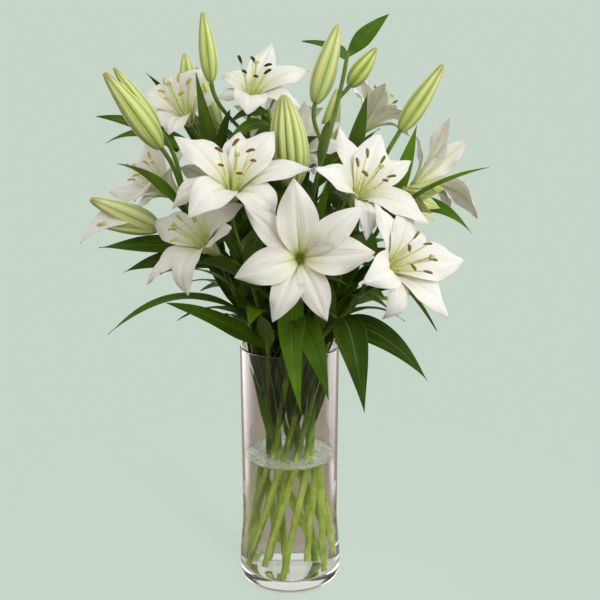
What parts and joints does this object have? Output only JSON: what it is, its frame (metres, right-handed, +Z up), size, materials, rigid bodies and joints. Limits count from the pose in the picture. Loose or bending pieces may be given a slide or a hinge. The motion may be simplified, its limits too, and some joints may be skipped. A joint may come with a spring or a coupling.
{
  "type": "lilies in a vase",
  "caption": "Bouquet of cut white lilies with buds and leaves standing in a clear glass cylinder vase half filled with water.",
  "frame": {"origin": "middle of the vase's flat underside", "axes": "+Z up along the vase's axis, -Y towards the front of the bouquet, +X to its right seen from the front"},
  "size_m": [0.444, 0.35, 0.684],
  "materials": {
    "glass": "clear polished glass",
    "water": "clear still water",
    "leaves": "satin green leaf and stem",
    "tepals": "soft warm white tepal with a green throat",
    "young_tepals": "soft greenish white tepal",
    "stamens": "pale green filament with olive anthers",
    "buds": "satin lime green bud with cream ribs"
  },
  "bodies": {
    "root": {"vase": "glass", "water": "water", "stem_front": "leaves", "stem_right_low": "leaves", "stem_right_mid": "leaves", "stem_right_far": "leaves", "stem_back_right": "leaves", "stem_back": "leaves", "stem_back_high": "leaves", "stem_back_left": "leaves", "stem_left_high": "leaves", "stem_left": "leaves", "stem_left_low": "leaves", "stem_spray": "leaves", "stem_top": "leaves", "stem_middle": "leaves", "bloom_centre": "tepals", "bloom_upper_left": "tepals", "bloom_lower_left": "tepals", "bloom_lower_right": "tepals", "bloom_mid_right": "tepals", "bloom_far_right": "tepals", "bloom_right_back": "tepals", "bloom_top": "tepals", "bloom_top_left": "tepals", "bloom_left": "tepals", "bloom_middle": "tepals", "bloom_half_right": "young_tepals", "bloom_back_left": "tepals", "bloom_back_right": "tepals", "bloom_back_high": "tepals", "bloom_upper_left_stamens": "stamens", "bloom_lower_left_stamens": "stamens", "bloom_lower_right_stamens": "stamens", "bloom_mid_right_stamens": "stamens", "bloom_right_back_stamens": "stamens", "bloom_top_stamens": "stamens", "bloom_top_left_stamens": "stamens", "bloom_left_stamens": "stamens", "bloom_back_left_stamens": "stamens", "bloom_back_right_stamens": "stamens", "bloom_back_high_stamens": "stamens", "bud_tall": "buds", "bud_behind": "buds", "bud_left": "buds", "bud_ribbed": "buds", "bud_spray": "buds", "bud_small": "buds", "bud_right": "buds", "bud_second": "buds", "bud_opening": "buds", "bud_back_left": "buds", "bud_back_right": "buds"}
  },
  "joints": []
}
